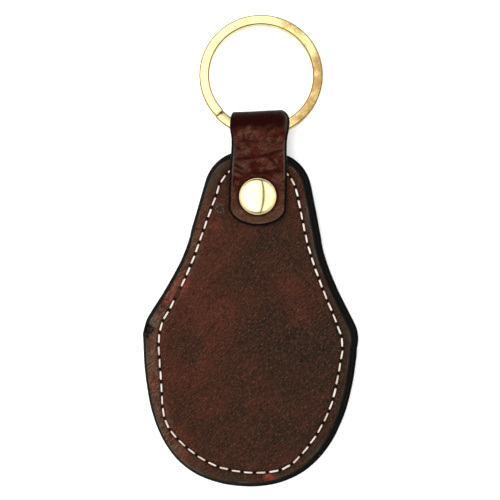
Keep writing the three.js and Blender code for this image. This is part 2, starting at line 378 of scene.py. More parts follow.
def scattered(outline, holes, border, face):
    """Points over the inside of an outline, clear of its border and its holes."""
    clear = face["spacing"] * CLEAR_SHARE
    points = hex_points(outline.min(0), outline.max(0), face["spacing"])
    if "seam" in face:
        seam = face["seam"]
        tracks = [inset(seam, distance) for distance in SEAM_TRACKS]
        points = np.vstack([points[distances(points, seam) > SEAM_REACH], *tracks])
    points = points[is_inside(points, outline)]
    points = points[distances(points, outline) > border + clear]
    for hole in holes:
        centre = hole.mean(0)
        points = points[norms(points - centre) > norms(hole - centre)[0] + clear]
    return points


def triangulated(rings, holes, loose):
    """A flat mesh from closed rings and loose points: its points, triangles and rings by number.

    The first ring is its outline, and its holes are left open.
    """
    points, edges, starts = [], [], []
    for ring in rings:
        start = len(points)
        starts.append(start)
        points += ring.tolist()
        edges += [(start + i, start + (i + 1) % len(ring)) for i in range(len(ring))]
    found = delaunay_2d_cdt([Vector(p) for p in points + loose], edges, [], 0, 1e-7)
    flat = np.array([tuple(p) for p in found[0]])
    triangles = np.array(found[2])
    centres = flat[triangles].mean(1)
    keep = is_inside(centres, rings[0])
    for hole in holes:
        keep &= ~is_inside(centres, hole)
    number = {old: new for new, olds in enumerate(found[3]) for old in olds}
    numbers = [[number[start + i] for i in range(len(ring))] for start, ring in zip(starts, rings)]
    return flat, triangles[keep], numbers


def rounding(edge, radius):
    """How far a rounded edge drops at a distance from the outline."""
    t = np.clip(1 - edge / radius, 0, 1)
    return radius * (1 - np.sqrt(1 - t * t))


def plate_side(outline, holes, height, sign, face):
    """One face of a plate: its vertices, their distances from the edge, its triangles and rims."""
    insets = [face["round"] * share for share in EDGE_RINGS]
    rings = [outline] + [inset(outline, d) for d in insets] + holes
    loose = scattered(outline, holes, insets[-1], face).tolist() if "spacing" in face else []
    flat, triangles, numbers = triangulated(rings, holes, loose)
    edge = distances(flat, outline)
    edge[numbers[0]] = 0
    z = height - sign * rounding(edge, face["round"])
    if "relief" in face:
        z = z + sign * face["relief"](flat, edge)
    rims = [numbers[0], *numbers[len(rings) - len(holes) :]]
    return np.column_stack([flat, z]), edge, triangles[:, ::sign], rims


def leather_plate(name, matrix, outline, low, high, top, bottom, holes, bend=None, extras=None):
    """A cut piece of leather with rounded edges and holes for the rivet.

    top and bottom are dicts: round, the radius of that face's edge; spacing, how far apart its
    points are (none leaves it flat); relief, a function of the points and their distance from the
    edge that gives the height to add; seam, a line with finer points beside it. extras is a
    function of all the flat vertices that gives more attributes for the material.
    """
    vertices, faces, edges, rims = [], [], [], []
    for face, height, sign in ((top, high, 1), (bottom, low, -1)):
        points, edge, triangles, side_rims = plate_side(outline, holes, height, sign, face)
        start = len(vertices)
        vertices += points.tolist()
        edges += edge.tolist()
        faces += (triangles + start).tolist()
        rims.append([[start + i for i in rim] for rim in side_rims])
    middle = inset(outline, -WALL_BULGE)
    belt = range(len(vertices), len(vertices) + len(middle))
    vertices += [(x, y, (low + high) / 2) for x, y in middle]
    edges += [0.0] * len(middle)
    (border, *upper_rims), (lower_border, *lower_rims) = rims
    faces += loop_faces(belt, border) + loop_faces(lower_border, belt)
    for upper, lower in zip(upper_rims, lower_rims):
        faces += loop_faces(upper, lower)
    vertices = np.array(vertices)
    attributes = {"pattern": vertices, "edge": edges}
    if extras:
        attributes.update(extras(vertices))
    return make_piece(name, bend(vertices) if bend else vertices, faces, matrix, attributes)


# -------- fob panels

SHOULDER_DENT = np.array([-25.2, -33.3])


def sewn_face(seed):
    """A panel's outer face: soft waves, a sunken seam, pulled-in stitch holes, soft borders."""

    def relief(points, edge):
        seam = distances(points, SEAM)
        pulled = 0.30 * bell(seam, 0.62) + 0.07 * bell(seam, 1.8)
        dimples = 0.40 * bell(nearest_hole(points), 0.36)
        waves = 0.05 * (1 + field(points, 11, seed)) + 0.018 * (1 + field(points, 2.6, seed + 5))
        border = 0.20 * smooth(edge, 1.9, 0.2)
        dent = 0.8 * bell(norms(points - SHOULDER_DENT), 1.0)
        return -(pulled + dimples + waves + border + dent)

    return {"round": 0.55, "spacing": 0.62, "relief": relief, "seam": SEAM}


def bumped_outline(outline, seed):
    """An outline with the slight wander of hand cutting and one bruise at the left shoulder."""
    wander = 0.05 * field(outline, 5, seed)
    bruise = 0.4 * bell(norms(outline - SHOULDER_DENT), 1.3)
    return outline + left_normals(outline) * (wander + bruise)[:, None]


def seam_attributes(vertices):
    """Distances from the seam and from the nearest stitch hole, for the panels' material."""
    flat = vertices[:, :2]
    return {"seam": distances(flat, SEAM), "stitch_hole": nearest_hole(flat)}


def make_ply(name, towards_front, seed, low, high, top, bottom, extras=None):
    """One ply of the fob, cut by hand to its own outline."""
    outline = bumped_outline(ply_outline(towards_front), seed)
    holes = [circle(RIVET_HOLE)]
    return leather_plate(name, FOB_FRAME, outline, low, high, top, bottom, holes, extras=extras)


def make_fob(materials):
    inner = CORE_HALF + PLY_GAP
    front = make_ply(
        "front_panel_leather", 1, 1.0, inner, FOB_HALF,
        top=sewn_face(3.0), bottom={"round": 0.12}, extras=seam_attributes,
    )
    settle(front, "fob", materials["front"], "front_panel")
    core = make_ply(
        "core_ply", 0.5, 2.0, -CORE_HALF, CORE_HALF, top={"round": 0.15}, bottom={"round": 0.15}
    )
    settle(core, "fob", materials["core"], "middle_ply")
    back = make_ply(
        "back_panel_leather", 0, 3.0, -FOB_HALF, -inner,
        top={"round": 0.3}, bottom=sewn_face(9.0), extras=seam_attributes,
    )
    settle(back, "fob", materials["back"], "back_panel")


# -------- stitches

MISSING_STITCH = np.array([-18.4, -24.9])


def stitch(start, end, side, rng, sunk):
    """One stitch of twisted thread between two holes, as vertices and faces.

    It is a tube with three soft lobes that wind along it, and its ends narrow and dive into
    the holes.
    """
    along, around = 20, 14
    run = end - start
    heading = math.atan2(run[1], run[0]) + math.radians(rng.uniform(-3.5, 3.5))
    forward = np.array([math.cos(heading), math.sin(heading)])
    sideways = np.array([-forward[1], forward[0]])
    half = (np.linalg.norm(run) - STITCH_GAP) / 2
    width = THREAD_WIDTH / 2 * rng.uniform(0.9, 1.08)
    height = THREAD_HEIGHT / 2 * rng.uniform(0.92, 1.05)
    proud, dive = 0.03, 0.75
    twist = rng.uniform(0, 2 * math.pi)
    u = np.repeat(np.linspace(-1, 1, along), around)
    angle = np.tile(2 * math.pi * np.arange(around) / around, along)
    thick = (1 - 0.35 * np.abs(u) ** 6) * (1 + 0.07 * np.cos(3 * angle - 9 * u + twist))
    flat = (start + end) / 2 + np.outer(half * u, forward)
    flat += np.outer(width * thick * np.cos(angle), sideways)
    z = FOB_HALF - THREAD_HEIGHT / 2 + proud - sunk
    z = z - dive * (1 - np.sqrt(1 - np.abs(u) ** 7)) + height * thick * np.sin(angle)
    return np.column_stack([flat, side * z]).tolist(), tube_faces(along, around, flip=side > 0)


def make_stitches(name, side, material, node, seed, spoilt=None):
    """All the stitches of one face; the one nearest to spoilt has pulled in and hardly shows."""
    rng = random.Random(seed)
    vertices, faces = [], []
    for start, end in zip(HOLES, np.roll(HOLES, -1, axis=0)):
        near = spoilt is not None and np.linalg.norm((start + end) / 2 - spoilt) < 1.5
        sunk = 0.7 if near else 0.0
        more, shapes = stitch(start, end, side, rng, sunk)
        base = len(vertices)
        vertices += more
        faces += [tuple(base + v for v in shape) for shape in shapes]
    settle(make_piece(name, vertices, faces, FOB_FRAME), "fob", material, node)


# -------- strap


def strap_line():
    """The middle of the strap seen from the side, from the back tongue round the eye to the front."""
    leaf = STRAP_INNER + STRAP_THICKNESS / 2
    eye = EYE_RADIUS + STRAP_THICKNESS / 2
    third = (EYE_Y - LEAF_TOP) / 3
    swell = bezier(
        (LEAF_TOP, leaf), (LEAF_TOP + third, leaf), (EYE_Y - third, eye), (EYE_Y, eye)
    )
    bend = arc((EYE_Y, 0), eye, -90, 90, 60)
    front = joined(bend, swell[::-1], np.array([[-TONGUE_LENGTH, leaf]]))
    back = (front[::-1] * [1, -1])[: len(front) - len(bend) + 1]
    return joined(back, front)


STRAP_LINE = strap_line()
STRAP_LENGTH = lengths_along(STRAP_LINE)[-1]


def strap_bend(vertices):
    """Folds the flat strap round its eye: x turns over, y runs along it, z is the height."""
    along = vertices[:, 1] + STRAP_LENGTH / 2
    step = 0.05
    here = at_lengths(STRAP_LINE, along)
    ahead = at_lengths(STRAP_LINE, along + step) - at_lengths(STRAP_LINE, along - step)
    ahead /= norms(ahead)[:, None]
    outward = ahead[:, ::-1] * [1, -1]
    place = here + outward * vertices[:, 2:]
    x, y = -vertices[:, 0], place[:, 0]
    return np.column_stack([x, y + FOLD_SKEW * x * smooth(y, 12, 19), place[:, 1]])


def strap_side(corner):
    """One side of the flat strap, from one tip to the other; corner is how far it pulls in."""
    half = STRAP_LENGTH / 2
    tongue, neck, fold = STRAP_HALF_WIDTHS.values()
    foot = TONGUE_LENGTH - half
    tip = arc((0, TONGUE_ARC - half), (tongue, TONGUE_ARC), -90, 0, 40)
    leaf = joined(
        tip,
        bezier(tip[-1], (tongue, foot + 10), (neck, foot + 9.5), (neck, foot + 12)),
        bezier((neck, foot + 12), (neck, foot + 15.6), (fold, foot + 15.2), (fold, foot + 17.6)),
        bezier((fold, foot + 17.6), (fold, -1.9), (fold - corner, -1.3), (fold - corner, 0)),
    )
    return np.vstack([leaf, leaf[::-1][1:] * [1, -1]])


def strap_outline():
    """The strap's flat outline, counter-clockwise, with its fold at y = 0 and round ends."""
    plain, pinched = strap_side(0.4), strap_side(1.6)
    return closed_evenly(np.vstack([plain, pinched[::-1][1:-1] * [-1, 1]]), 0.4)


RIVET_ALONG = STRAP_LENGTH / 2 - TONGUE_LENGTH

# Creases of the front leaf: from, to, depth and width. x is across it, y is up from the rivet.
CREASES = [
    ((-6.4, 8.7), (-1.0, 9.3), 0.26, 0.50),
    ((-1.0, 9.3), (6.3, 11.6), 0.26, 0.50),
    ((-4.6, 13.5), (0.4, 13.6), 0.20, 0.24),
    ((0.4, 13.6), (3.6, 12.9), 0.16, 0.24),
    ((-6.3, 12.3), (-4.2, 11.0), 0.20, 0.40),
    ((-2.8, 5.2), (3.4, 5.9), 0.26, 0.60),
    ((-6.2, 6.3), (-2.8, 5.2), 0.20, 0.45),
    ((-6.4, 7.9), (-3.2, 6.2), 0.16, 0.40),
    ((3.4, 5.9), (6.4, 6.3), 0.18, 0.45),
    ((2.0, 10.2), (4.4, 7.2), 0.14, 0.40),
    ((-0.4, 9.0), (-2.6, 7.2), 0.12, 0.35),
    ((3.9, 16.6), (6.4, 17.6), 0.18, 0.50),
    ((1.4, 16.0), (3.9, 16.6), 0.14, 0.50),
    ((3.7, 12.6), (3.9, 15.8), 0.10, 0.40),
    ((-3.8, 15.4), (-3.2, 12.4), 0.10, 0.40),
    ((4.9, 3.2), (6.3, 1.2), 0.08, 0.40),
    ((-6.3, 3.6), (-5.0, 1.6), 0.10, 0.40),
    ((-3.9, -5.0), (-2.3, -4.7), 0.10, 0.20),
]


def creases_at(flat):
    """How deep in a crease each flat point is, as (depth in millimetres, share from 0 to 1)."""
    leaf = [0, RIVET_ALONG] - flat
    leaf[:, 0] += 0.35 * field(leaf, 2.3, 41)
    leaf[:, 1] += 0.45 * field(leaf, 2.8, 47)
    depth, share = np.zeros(len(flat)), np.zeros(len(flat))
    for start, end, deep, wide in CREASES:
        start, run = np.array(start), np.subtract(end, start)
        t = np.clip(((leaf - start) @ run) / (run @ run), 0, 1)
        gap = norms(leaf - start - t[:, None] * run)
        strength = bell(gap, wide) * np.sqrt(np.clip(4 * t * (1 - t) + 0.15, 0, 1))
        depth = np.maximum(depth, deep * strength)
        share = np.maximum(share, strength * min(1, deep / 0.14))
    return depth, share


def from_rivet(flat):
    """The distance from each flat point of the strap to the nearer of its rivet holes."""
    return np.hypot(flat[:, 0], np.abs(flat[:, 1]) - RIVET_ALONG)


def strap_relief(points, edge):
    """The outer face: creases, fine ripples, and flat seats for the caps with a rise round them."""
    depth, share = creases_at(points)
    lips = 0.5 * share * (1 - share)
    stretched = points * [0.35, 1]
    ripples = 0.045 * (1 + field(stretched, 1.5, 13)) + 0.02 * (1 + field(points, 0.9, 17))
    from_cap = from_rivet(points) - CAP_RADIUS
    flat_under_cap = smooth(from_cap, -0.2, 1.2)
    swell = 0.10 * bell(from_cap - 0.9, 0.5)
    return (lips - depth - ripples) * flat_under_cap * smooth(edge, 0.1, 1.0) + swell


def strap_attributes(vertices):
    """How deep in a crease and how far from the rivet each point is, for the strap's material."""
    flat = vertices[:, :2]
    outside = vertices[:, 2] > 0
    return {"crease": creases_at(flat)[1] * outside, "rivet": from_rivet(flat)}


def make_strap(materials):
    half = STRAP_THICKNESS / 2
    holes = [circle(RIVET_HOLE, (0, sign * RIVET_ALONG)) for sign in (-1, 1)]
    piece = leather_plate(
        "strap_leather", STRAP_FRAME, strap_outline(), -half, half,
        top={"round": 0.5, "spacing": 0.34, "relief": strap_relief},
        bottom={"round": 0.3, "spacing": 0.6}, holes=holes,
        bend=strap_bend, extras=strap_attributes,
    )
    settle(piece, "strap", materials["strap"], "strap")


# -------- rivet and ring


def cap_profile():
    """A stamped cap: inside, lip turned in underneath, rolled rim, groove and dome."""
    rim, rim_height = 0.26, 0.38
    dome_radius = CAP_RADIUS - 0.34
    dome_foot = CAP_SEAT + 0.5
    dome_height = CAP_SEAT + CAP_HEIGHT - dome_foot
    inner_radius = dome_radius - CAP_WALL
    return [
        *arc((0, dome_foot), (inner_radius, dome_height - CAP_WALL), 90, 0, 14),
        (inner_radius, CAP_SEAT + 0.16),
        (CAP_LIP_RADIUS, CAP_SEAT + 0.15),
        (CAP_LIP_RADIUS, CAP_SEAT + 0.03),
        (CAP_LIP_RADIUS + 0.1, CAP_SEAT),
        *arc((CAP_RADIUS - rim, CAP_SEAT + rim_height), (rim, rim_height), -80, 120, 18),
        *arc((0, dome_foot), (dome_radius, dome_height), 6, 90, 34),
    ]


def cap_shading(radius, endwise):
    """The painted shade at a radius of the cap, and at how far along Y it lies, as a share of the
    radius.

    It darkens the groove round the dome, most of all at its two ends along Y, where it stands for a
    painted reflection of the studio's dark ends, and it darkens the rim: painted shade.
    """
    groove = CAP_RADIUS - 0.36
    if abs(radius - groove) < 0.07:
        return 0.2 + 0.8 * endwise**2
    return 0.5 if radius > groove else 0.0


def make_cap(name, matrix):
    """A cap, as its profile turned round its axis; the profile starts and ends on the axis."""
    around = 120
    vertices, rings, painted_shade = [], [], []
    for radius, height in cap_profile():
        start = len(vertices)
        if radius < 1e-4:
            rings.append([start] * around)
            vertices.append((0.0, 0.0, height))
            painted_shade.append(0.0)
            continue
        rings.append(range(start, start + around))
        for x, y in circle(radius, count=around):
            vertices.append((x, y, height))
            painted_shade.append(cap_shading(radius, abs(y) / radius))
    faces = []
    for first, second in zip(rings, rings[1:]):
        corners = [tuple(dict.fromkeys(quad)) for quad in loop_faces(first, second)]
        faces += [face for face in corners if len(face) > 2]
    return make_piece(name, vertices, faces, matrix, {"painted_shade": painted_shade})


def make_rivet(materials):
    turned_over = Matrix.Rotation(math.pi, 4, "Y")
    for name, matrix, node in (
        ("front_cap", STRAP_FRAME, "rivet_cap_front"),
        ("back_cap", STRAP_FRAME @ turned_over, "rivet_cap_back"),
    ):
        settle(make_cap(name, matrix), "strap", materials["cap"], node)
    for node in ("rivet_socket", "rivet_post"):
        slots = frame["nodes"][node].data.materials
        slots.clear()
        slots.append(materials["brass"])


def wire_section():
    """The flat wire's section as (out from the ring's centre, along its axis, painted shade) rows.

    Its corners are round and carry the painted shade; its wide faces are slightly crowned, and its
    sides flat.
    """
    x, y, corner = WIRE_WIDTH / 2, WIRE_THICKNESS / 2, 0.26
    crown, shoulder = 0.012, 0.06
    high = y - corner - crown
    half = [(*point, 1.0) for point in arc((x - corner, high), corner, 0, 90, 6)]
    for share in (1, 0.5, 0, -0.5, -1):
        drop = 0.8 * crown if share else 0.0
        half.append(((x - corner - shoulder) * share, y - drop, 0.0))
    half += [(*point, 1.0) for point in arc((corner - x, high), corner, 90, 180, 6)]
    half += [(-x, high - shoulder, 0.0), (-x, shoulder - high, 0.0)]
    return np.vstack([half, np.array(half) * [-1, -1, 1]])


def ring_shading(rows, down, before_end):
    """The painted shade round one section of the wire.

    It darkens the corners, a painted reflection of the dark surroundings, less so between the turns;
    it paints a shadow on the lower turn just past the upper turn's end, and paints shade on the
    inner side of the lower turn where the upper one has just ended. down is 0 on the upper turn
    and 1 on the lower one, and before_end is how many degrees of bare ring lie between the
    section and the upper turn's end.
    """
    out, high, corner = rows.T
    sheltered = (high * (down - 0.5) > 0) & (down < 0.5 or before_end < 0)
    under_end = 1.2 * bell(before_end - 0.6, 1.5)
    dull = 0.6 if -1 < before_end < 30 else 0.0
    patch = np.minimum(1.0, smooth(out, 0.35, -0.55) * max(under_end, dull))
    return np.maximum(np.where(sheltered, 0.3, 1.0) * corner, patch)


def make_ring(materials):
    """Two turns of flat wire with a step between them, its ends slightly rounded."""
    steps = 520
    end_length, end_shrink = 0.35, 0.16
    rows = wire_section()
    middle = RING_RADIUS - WIRE_WIDTH / 2
    turn_height = (WIRE_THICKNESS + TURN_GAP) / 2
    vertices, shade_rows = [], []
    for i in range(steps + 1):
        degrees = RING_START - RING_TURN * i / steps
        down = smooth(-degrees, -RING_STEP[0], -RING_STEP[1])
        shade_rows.append(ring_shading(rows, down, degrees + 360 - RING_START))
        angle = math.radians(degrees)
        from_end = min(i, steps - i) / steps * math.radians(RING_TURN) * middle
        shrink = 1 - end_shrink * max(0.0, 1 - from_end / end_length) ** 2
        radius = middle + rows[:, 0] * shrink
        z = turn_height * (1 - 2 * down) + rows[:, 1] * shrink
        vertices.append(np.column_stack([radius * math.cos(angle), radius * math.sin(angle), z]))
    faces = tube_faces(steps + 1, len(rows))
    painted_shade = {"painted_shade": np.concatenate(shade_rows)}
    piece = make_piece("ring_wire", np.vstack(vertices), faces, RING_FRAME, painted_shade)
    settle(piece, "ring", materials["ring"], "split_ring")


# -------- materials

# How brightly the studio lights a level surface.
LIGHT_LEVEL = 1.95


def gold(red, green, blue):
    """A metal's linear colour, from 0 to 255 values as it looks when it reflects a white sky."""
    values = np.array([red, green, blue]) / 255
    linear = np.where(values <= 0.04045, values / 12.92, ((values + 0.055) / 1.055) ** 2.4)
    return (*linear.tolist(), 1.0)


def matt(red, green, blue):
    """A matt thing's linear colour, from 0 to 255 values as it looks in the studio light."""
    return (*(value / LIGHT_LEVEL for value in gold(red, green, blue)[:3]), 1.0)


class Nodes:
    """A node tree, with short calls for the nodes that the paints and the sky are built from."""

    def __init__(self, tree):
        self.tree = tree

    def feed(self, socket, value):
        """Links a socket to another node's output, or gives it a constant."""
        if isinstance(value, bpy.types.NodeSocket):
            self.tree.links.new(value, socket)
        else:
            socket.default_value = value

    def node(self, kind, inputs=None, **settings):
        made = self.tree.nodes.new("ShaderNode" + kind)
        for name, value in settings.items():
            setattr(made, name, value)
        for name, value in (inputs or {}).items():
            self.feed(made.inputs[name], value)
        return made

    def place(self, kind="Object"):
        return self.node("TexCoord").outputs[kind]

    def parts(self, vector):
        """A vector's X, Y and Z."""
        return self.node("SeparateXYZ", {0: vector}).outputs

    def math(self, operation, *values):
        return self.node("Math", dict(enumerate(values)), operation=operation).outputs[0]

    def scaled(self, value, factor, offset):
        """The value times the factor, plus the offset."""
        return self.math("MULTIPLY_ADD", value, factor, offset)

    def fade(self, value, low, high, top=1.0, bottom=0.0):
        """bottom at low and top at high, smooth between; low may be the larger."""
        ends = (low, high, bottom, top) if low < high else (high, low, top, bottom)
        names = ("Value", "From Min", "From Max", "To Min", "To Max")
        inputs = dict(zip(names, (value, *ends)))
        return self.node("MapRange", inputs, interpolation_type="SMOOTHSTEP").outputs[0]


class Paint(Nodes):
    """A new material, painted in layers; colour is what the layers so far come to.

    Its tints are 0 to 255 values, which linear turns into colours.
    """

    def __init__(self, name, linear=matt):
        self.material = bpy.data.materials.new(name)
        self.material.use_nodes = True
        super().__init__(self.material.node_tree)
        self.tree.nodes.clear()
        self.shader = self.node("BsdfPrincipled")
        self.node("OutputMaterial", {"Surface": self.shader.outputs[0]})
        self.linear = linear
        self.colour = None

    def attribute(self, name, output="Fac"):
        return self.node("Attribute", attribute_name=name).outputs[output]

    def noise(self, place, scale, detail=3.0, roughness=0.5, distortion=0.0):
        made = self.node("TexNoise", {
            "Vector": place, "Scale": scale, "Detail": detail,
            "Roughness": roughness, "Distortion": distortion,
        })
        return made.outputs[0]

    def ragged(self, value, amount, *texture):
        """A value made uneven by noise, up and down by half that amount."""
        return self.math("ADD", value, self.scaled(self.noise(*texture), amount, -amount / 2))

    def stretched(self, place, scale, turn=0.0):
        inputs = {"Vector": place, "Scale": scale, "Rotation": (0, 0, turn)}
        return self.node("Mapping", inputs).outputs[0]

    def strokes(self, place, angle, along, across):
        """A place on which noise comes out as strokes at that angle from X."""
        return self.stretched(self.stretched(place, (1, 1, 1), -angle), (along, across, 1))

    def distance(self, place, centre):
        inputs = {0: place, 1: (*centre, 0)}
        return self.node("VectorMath", inputs, operation="DISTANCE").outputs["Value"]

    def ramp(self, value, stops):
        """Makes the first layer a ramp of colours."""
        made = self.node("ValToRGB", {"Fac": value})
        elements = made.color_ramp.elements
        while len(elements) < len(stops):
            elements.new(0.5)
        for element, (position, tint) in zip(elements, stops):
            element.position = position
            element.color = self.linear(*tint)
        self.colour = made.outputs[0]

    def lay(self, tint, *amounts):
        """Lays a tint over the layers so far, by the product of the amounts."""
        share = amounts[0]
        for amount in amounts[1:]:
            share = self.math("MULTIPLY", share, amount)
        inputs = {0: share, 6: self.colour, 7: self.linear(*tint)}
        self.colour = self.node("Mix", inputs, data_type="RGBA").outputs[2]

    def wash(self, tint, value, low, high, strength=1.0):
        """Lays a tint as far as the value has come from low to high."""
        self.lay(tint, self.fade(value, low, high, strength))

    def bump(self, height, depth_mm):
        return self.node("Bump", {"Height": height, "Distance": depth_mm * MM}).outputs[0]

    def finished(self, **inputs):
        """The material, once its shader has the layers' colour and these other inputs."""
        for name, value in {"Base_Color": self.colour, **inputs}.items():
            self.feed(self.shader.inputs[name.replace("_", " ")], value)
        return self.material


# Tints, as 0 to 255 values.
EDGE_BLACK = (11, 10, 8)
EDGE_OLIVE = (62, 58, 46)
OLIVE_BROWN = (40, 32, 23)
RED_BROWN = (88, 42, 31)
WORN_RED = (150, 68, 50)
BRUISE_BLACK = (12, 13, 10)
# Grey for the bruises, and for the painted glint, a painted highlight, inside the black edges.
GLINT_AND_BRUISE_GREY = (96, 96, 86)

# Spots on the panels: for each colour, rows of centre, radius and strength. Stains lie under the
# leather's strokes, and marks are blotchy and lie over the olive margin.
FRONT_STAINS = {
    OLIVE_BROWN: [
        ((13, -37), 15, 0.65), ((-2, -20), 9, 0.7), ((2, -34), 11, 0.4), ((-15, -51.5), 4, 0.5),
    ],
    RED_BROWN: [
        ((9, -22.5), 6, 0.5), ((12.7, -27), 5, 0.4), ((-10.2, -51), 6, 0.45), ((-18, -44), 7, 0.6),
        ((10.5, -63), 6, 0.45), ((2, -49), 6, 0.4), ((-14, -28), 9, 0.5), ((-11, -10), 6, 0.5),
        ((11, -6), 5, 0.4),
    ],
}
FRONT_MARKS = {
    WORN_RED: [
        ((-20.4, -25.9), 2.2, 1.0), ((-18.2, -22.6), 4.0, 0.7), ((-16.8, -20.4), 2.2, 0.4),
        ((6.1, -68.2), 2.4, 1.5), ((-9.6, -7.6), 1.8, 0.4), ((-15.5, -63.8), 2.4, 0.5),
        ((-24.0, -46.0), 2.6, 0.4),
    ],
    GLINT_AND_BRUISE_GREY: [((-24.6, -31.3), 2.4, 1.3), ((-18.8, -62.1), 0.9, 1.5)],
    BRUISE_BLACK: [((-25.4, -33.6), 2.6, 4.0)],
}
BACK_STAINS = {OLIVE_BROWN: [((-8, -44), 14, 0.4), ((5, -20), 9, 0.35)]}
BACK_MARKS = {WORN_RED: [((12, -40), 5, 0.4), ((-16, -52), 4, 0.3)]}
SCAR = (-9.1, -3.4)


def grain(paint, place, fine_scale):
    """Leather grain: tiny pebbles parted by creases, over a soft unevenness."""
    inputs = {"Vector": place, "Scale": fine_scale}
    cells = paint.node("TexVoronoi", inputs, feature="DISTANCE_TO_EDGE")
    pebbles = paint.fade(cells.outputs["Distance"], 0.0, 0.22)
    height = paint.scaled(pebbles, 0.45, paint.noise(place, fine_scale * 1.7, 5, 0.6))
    return paint.math("ADD", height, paint.noise(place, 0.7)), pebbles


def olive_margin(paint, place, width, strength):
    """Lays on the olive margin, where the edge dye has bled inwards."""
    spread = paint.fade(paint.noise(place, 0.085), 0.42, 0.66)
    reach = paint.scaled(spread, 1.5 * width, 0.35 * width)
    within = paint.ragged(paint.attribute("edge"), 1.6, place, 0.9, 5, 0.65)
    paint.wash(EDGE_OLIVE, paint.math("DIVIDE", within, reach), 1.3, 0.5, strength)


def black_rim(paint, place, width):
    """Lays on the black edge dye, with a painted glint, a painted highlight, here and there inside it.
    """
    within = paint.ragged(paint.attribute("edge"), 0.3, place, 1.6, 4)
    glint = paint.fade(within, width + 0.42, width + 0.2)
    patchy = paint.fade(paint.noise(place, 0.22), 0.46, 0.66, 0.45)
    # A painted glint: a grey highlight in patches just inside the black.
    paint.lay(GLINT_AND_BRUISE_GREY, glint, patchy)
    paint.wash(EDGE_BLACK, within, width + 0.11, width - 0.11)


def lay_spots(paint, place, spots, *shares):
    """Lays on spots with ragged borders, each fading from its centre to its radius."""
    for tint, rows in spots.items():
        for centre, radius, strength in rows:
            away = paint.ragged(paint.distance(place, centre), radius, place, 1.3 / radius, 4)
            paint.lay(tint, paint.fade(away, radius, 0.0), strength, *shares)


def worn_side(paint, flat, across, diagonal):
    """Lays on the left border's wear: tan patches, then dark and pale scuffs."""
    side = paint.fade(paint.attribute("edge"), 4.4, 2.2), paint.fade(across, -8.0, -20.0)
    patchy = paint.noise(flat, 0.2, 5, 0.6)
    scuffs = paint.noise(diagonal, 1.4, 5, 0.75)
    paint.lay((106, 77, 62), *side, paint.fade(patchy, 0.36, 0.6, 0.62))
    paint.lay((42, 24, 18), *side, paint.fade(scuffs, 0.49, 0.38, 0.75))
    paint.lay((138, 114, 98), *side, paint.fade(scuffs, 0.50, 0.62, 0.55))


def round_scar(paint, place, centre):
    """Lays on a small round scar: a dark spot with a broken pale ring in it."""
    away = paint.ragged(paint.distance(place, centre), 1.5, place, 1.4, 5)
    ring = paint.math("MINIMUM", paint.fade(away, 0.5, 0.85), paint.fade(away, 1.25, 0.95))
    paint.wash((44, 36, 32), away, 1.4, 0.7, 0.7)
    broken = paint.fade(paint.noise(place, 1.9, 4), 0.40, 0.58, 0.75)
    paint.lay((104, 94, 90), ring, broken)


def panel_paint(name, turn, rim, stains, marks, used=False):
    """Waxed brown leather: olive, brown and red mottling, pale specks, black dyed edges; painted shade
    that darkens it towards +X and lightens it towards +Y, a painted glint inside the black, and
    painted shade along the seam and in the stitch holes.

    turn gives each panel its own mottling, and rim is how far in the black reaches. The used
    panel has a worn side and a scar.
    """
    paint = Paint(name)
    pattern = paint.attribute("pattern", "Vector")
    flat = paint.stretched(pattern, (1, 1, 0), turn)
    across, along, _ = paint.parts(flat)
    # Broad mottling, painted darker towards +X and lighter towards +Y: painted shade across the panel.
    mottle_and_shade = paint.scaled(across, 0.007, paint.noise(flat, 0.07, 5, 0.6, 0.7))
    mottle_and_shade = paint.math("SUBTRACT", paint.scaled(along, -0.0014, mottle_and_shade), 0.02)
    paint.ramp(mottle_and_shade, [
        (0.30, (85, 43, 30)), (0.42, (72, 39, 26)), (0.54, (59, 36, 25)), (0.70, (44, 33, 23)),
    ])
    lay_spots(paint, flat, stains)
    diagonal = paint.strokes(flat, 0.85, 0.5, 1.5)
    tone = paint.noise(diagonal, 0.35, 6, 0.68, 0.4)
    paint.wash((38, 23, 15), tone, 0.48, 0.32, 0.62)
    paint.wash((94, 57, 40), tone, 0.54, 0.70, 0.5)
    paint.wash((106, 44, 32), paint.noise(diagonal, 0.8, 6, 0.72), 0.53, 0.66, 0.5)
    fibres = paint.noise(diagonal, 2.2, 5, 0.8)
    paint.wash((16, 9, 4), fibres, 0.50, 0.36, 0.85)
    paint.wash((114, 78, 58), fibres, 0.51, 0.66, 0.7)
    paint.wash((176, 140, 116), paint.noise(flat, 3.2, 1), 0.69, 0.80, 0.8)
    if used:
        worn_side(paint, flat, across, diagonal)
    olive_margin(paint, flat, 1.1, paint.fade(along, -30.0, 0.0, 0.8, 0.4))
    blotchy = paint.fade(paint.noise(flat, 1.1, 6, 0.7), 0.40, 0.60)
    lay_spots(paint, flat, marks, blotchy)
    if used:
        round_scar(paint, flat, SCAR)
    # Darker along the sunken seam: painted shade in its groove, and dirt.
    paint.wash((42, 20, 13), paint.attribute("seam"), 0.75, 0.2, 0.6)
    # Near black at the stitch holes: painted shade in them.
    paint.wash((28, 10, 6), paint.attribute("stitch_hole"), 0.46, 0.22, 0.95)
    black_rim(paint, flat, rim)
    height, pebbles = grain(paint, pattern, 1.9)
    paint.wash((28, 17, 12), pebbles, 0.5, 0.0, 0.4)
    rough = paint.scaled(paint.noise(flat, 0.5, 4), 0.2, 0.5)
    relief = paint.bump(height, 0.10)
    return paint.finished(Roughness=rough, Normal=relief, Specular_IOR_Level=0.04)


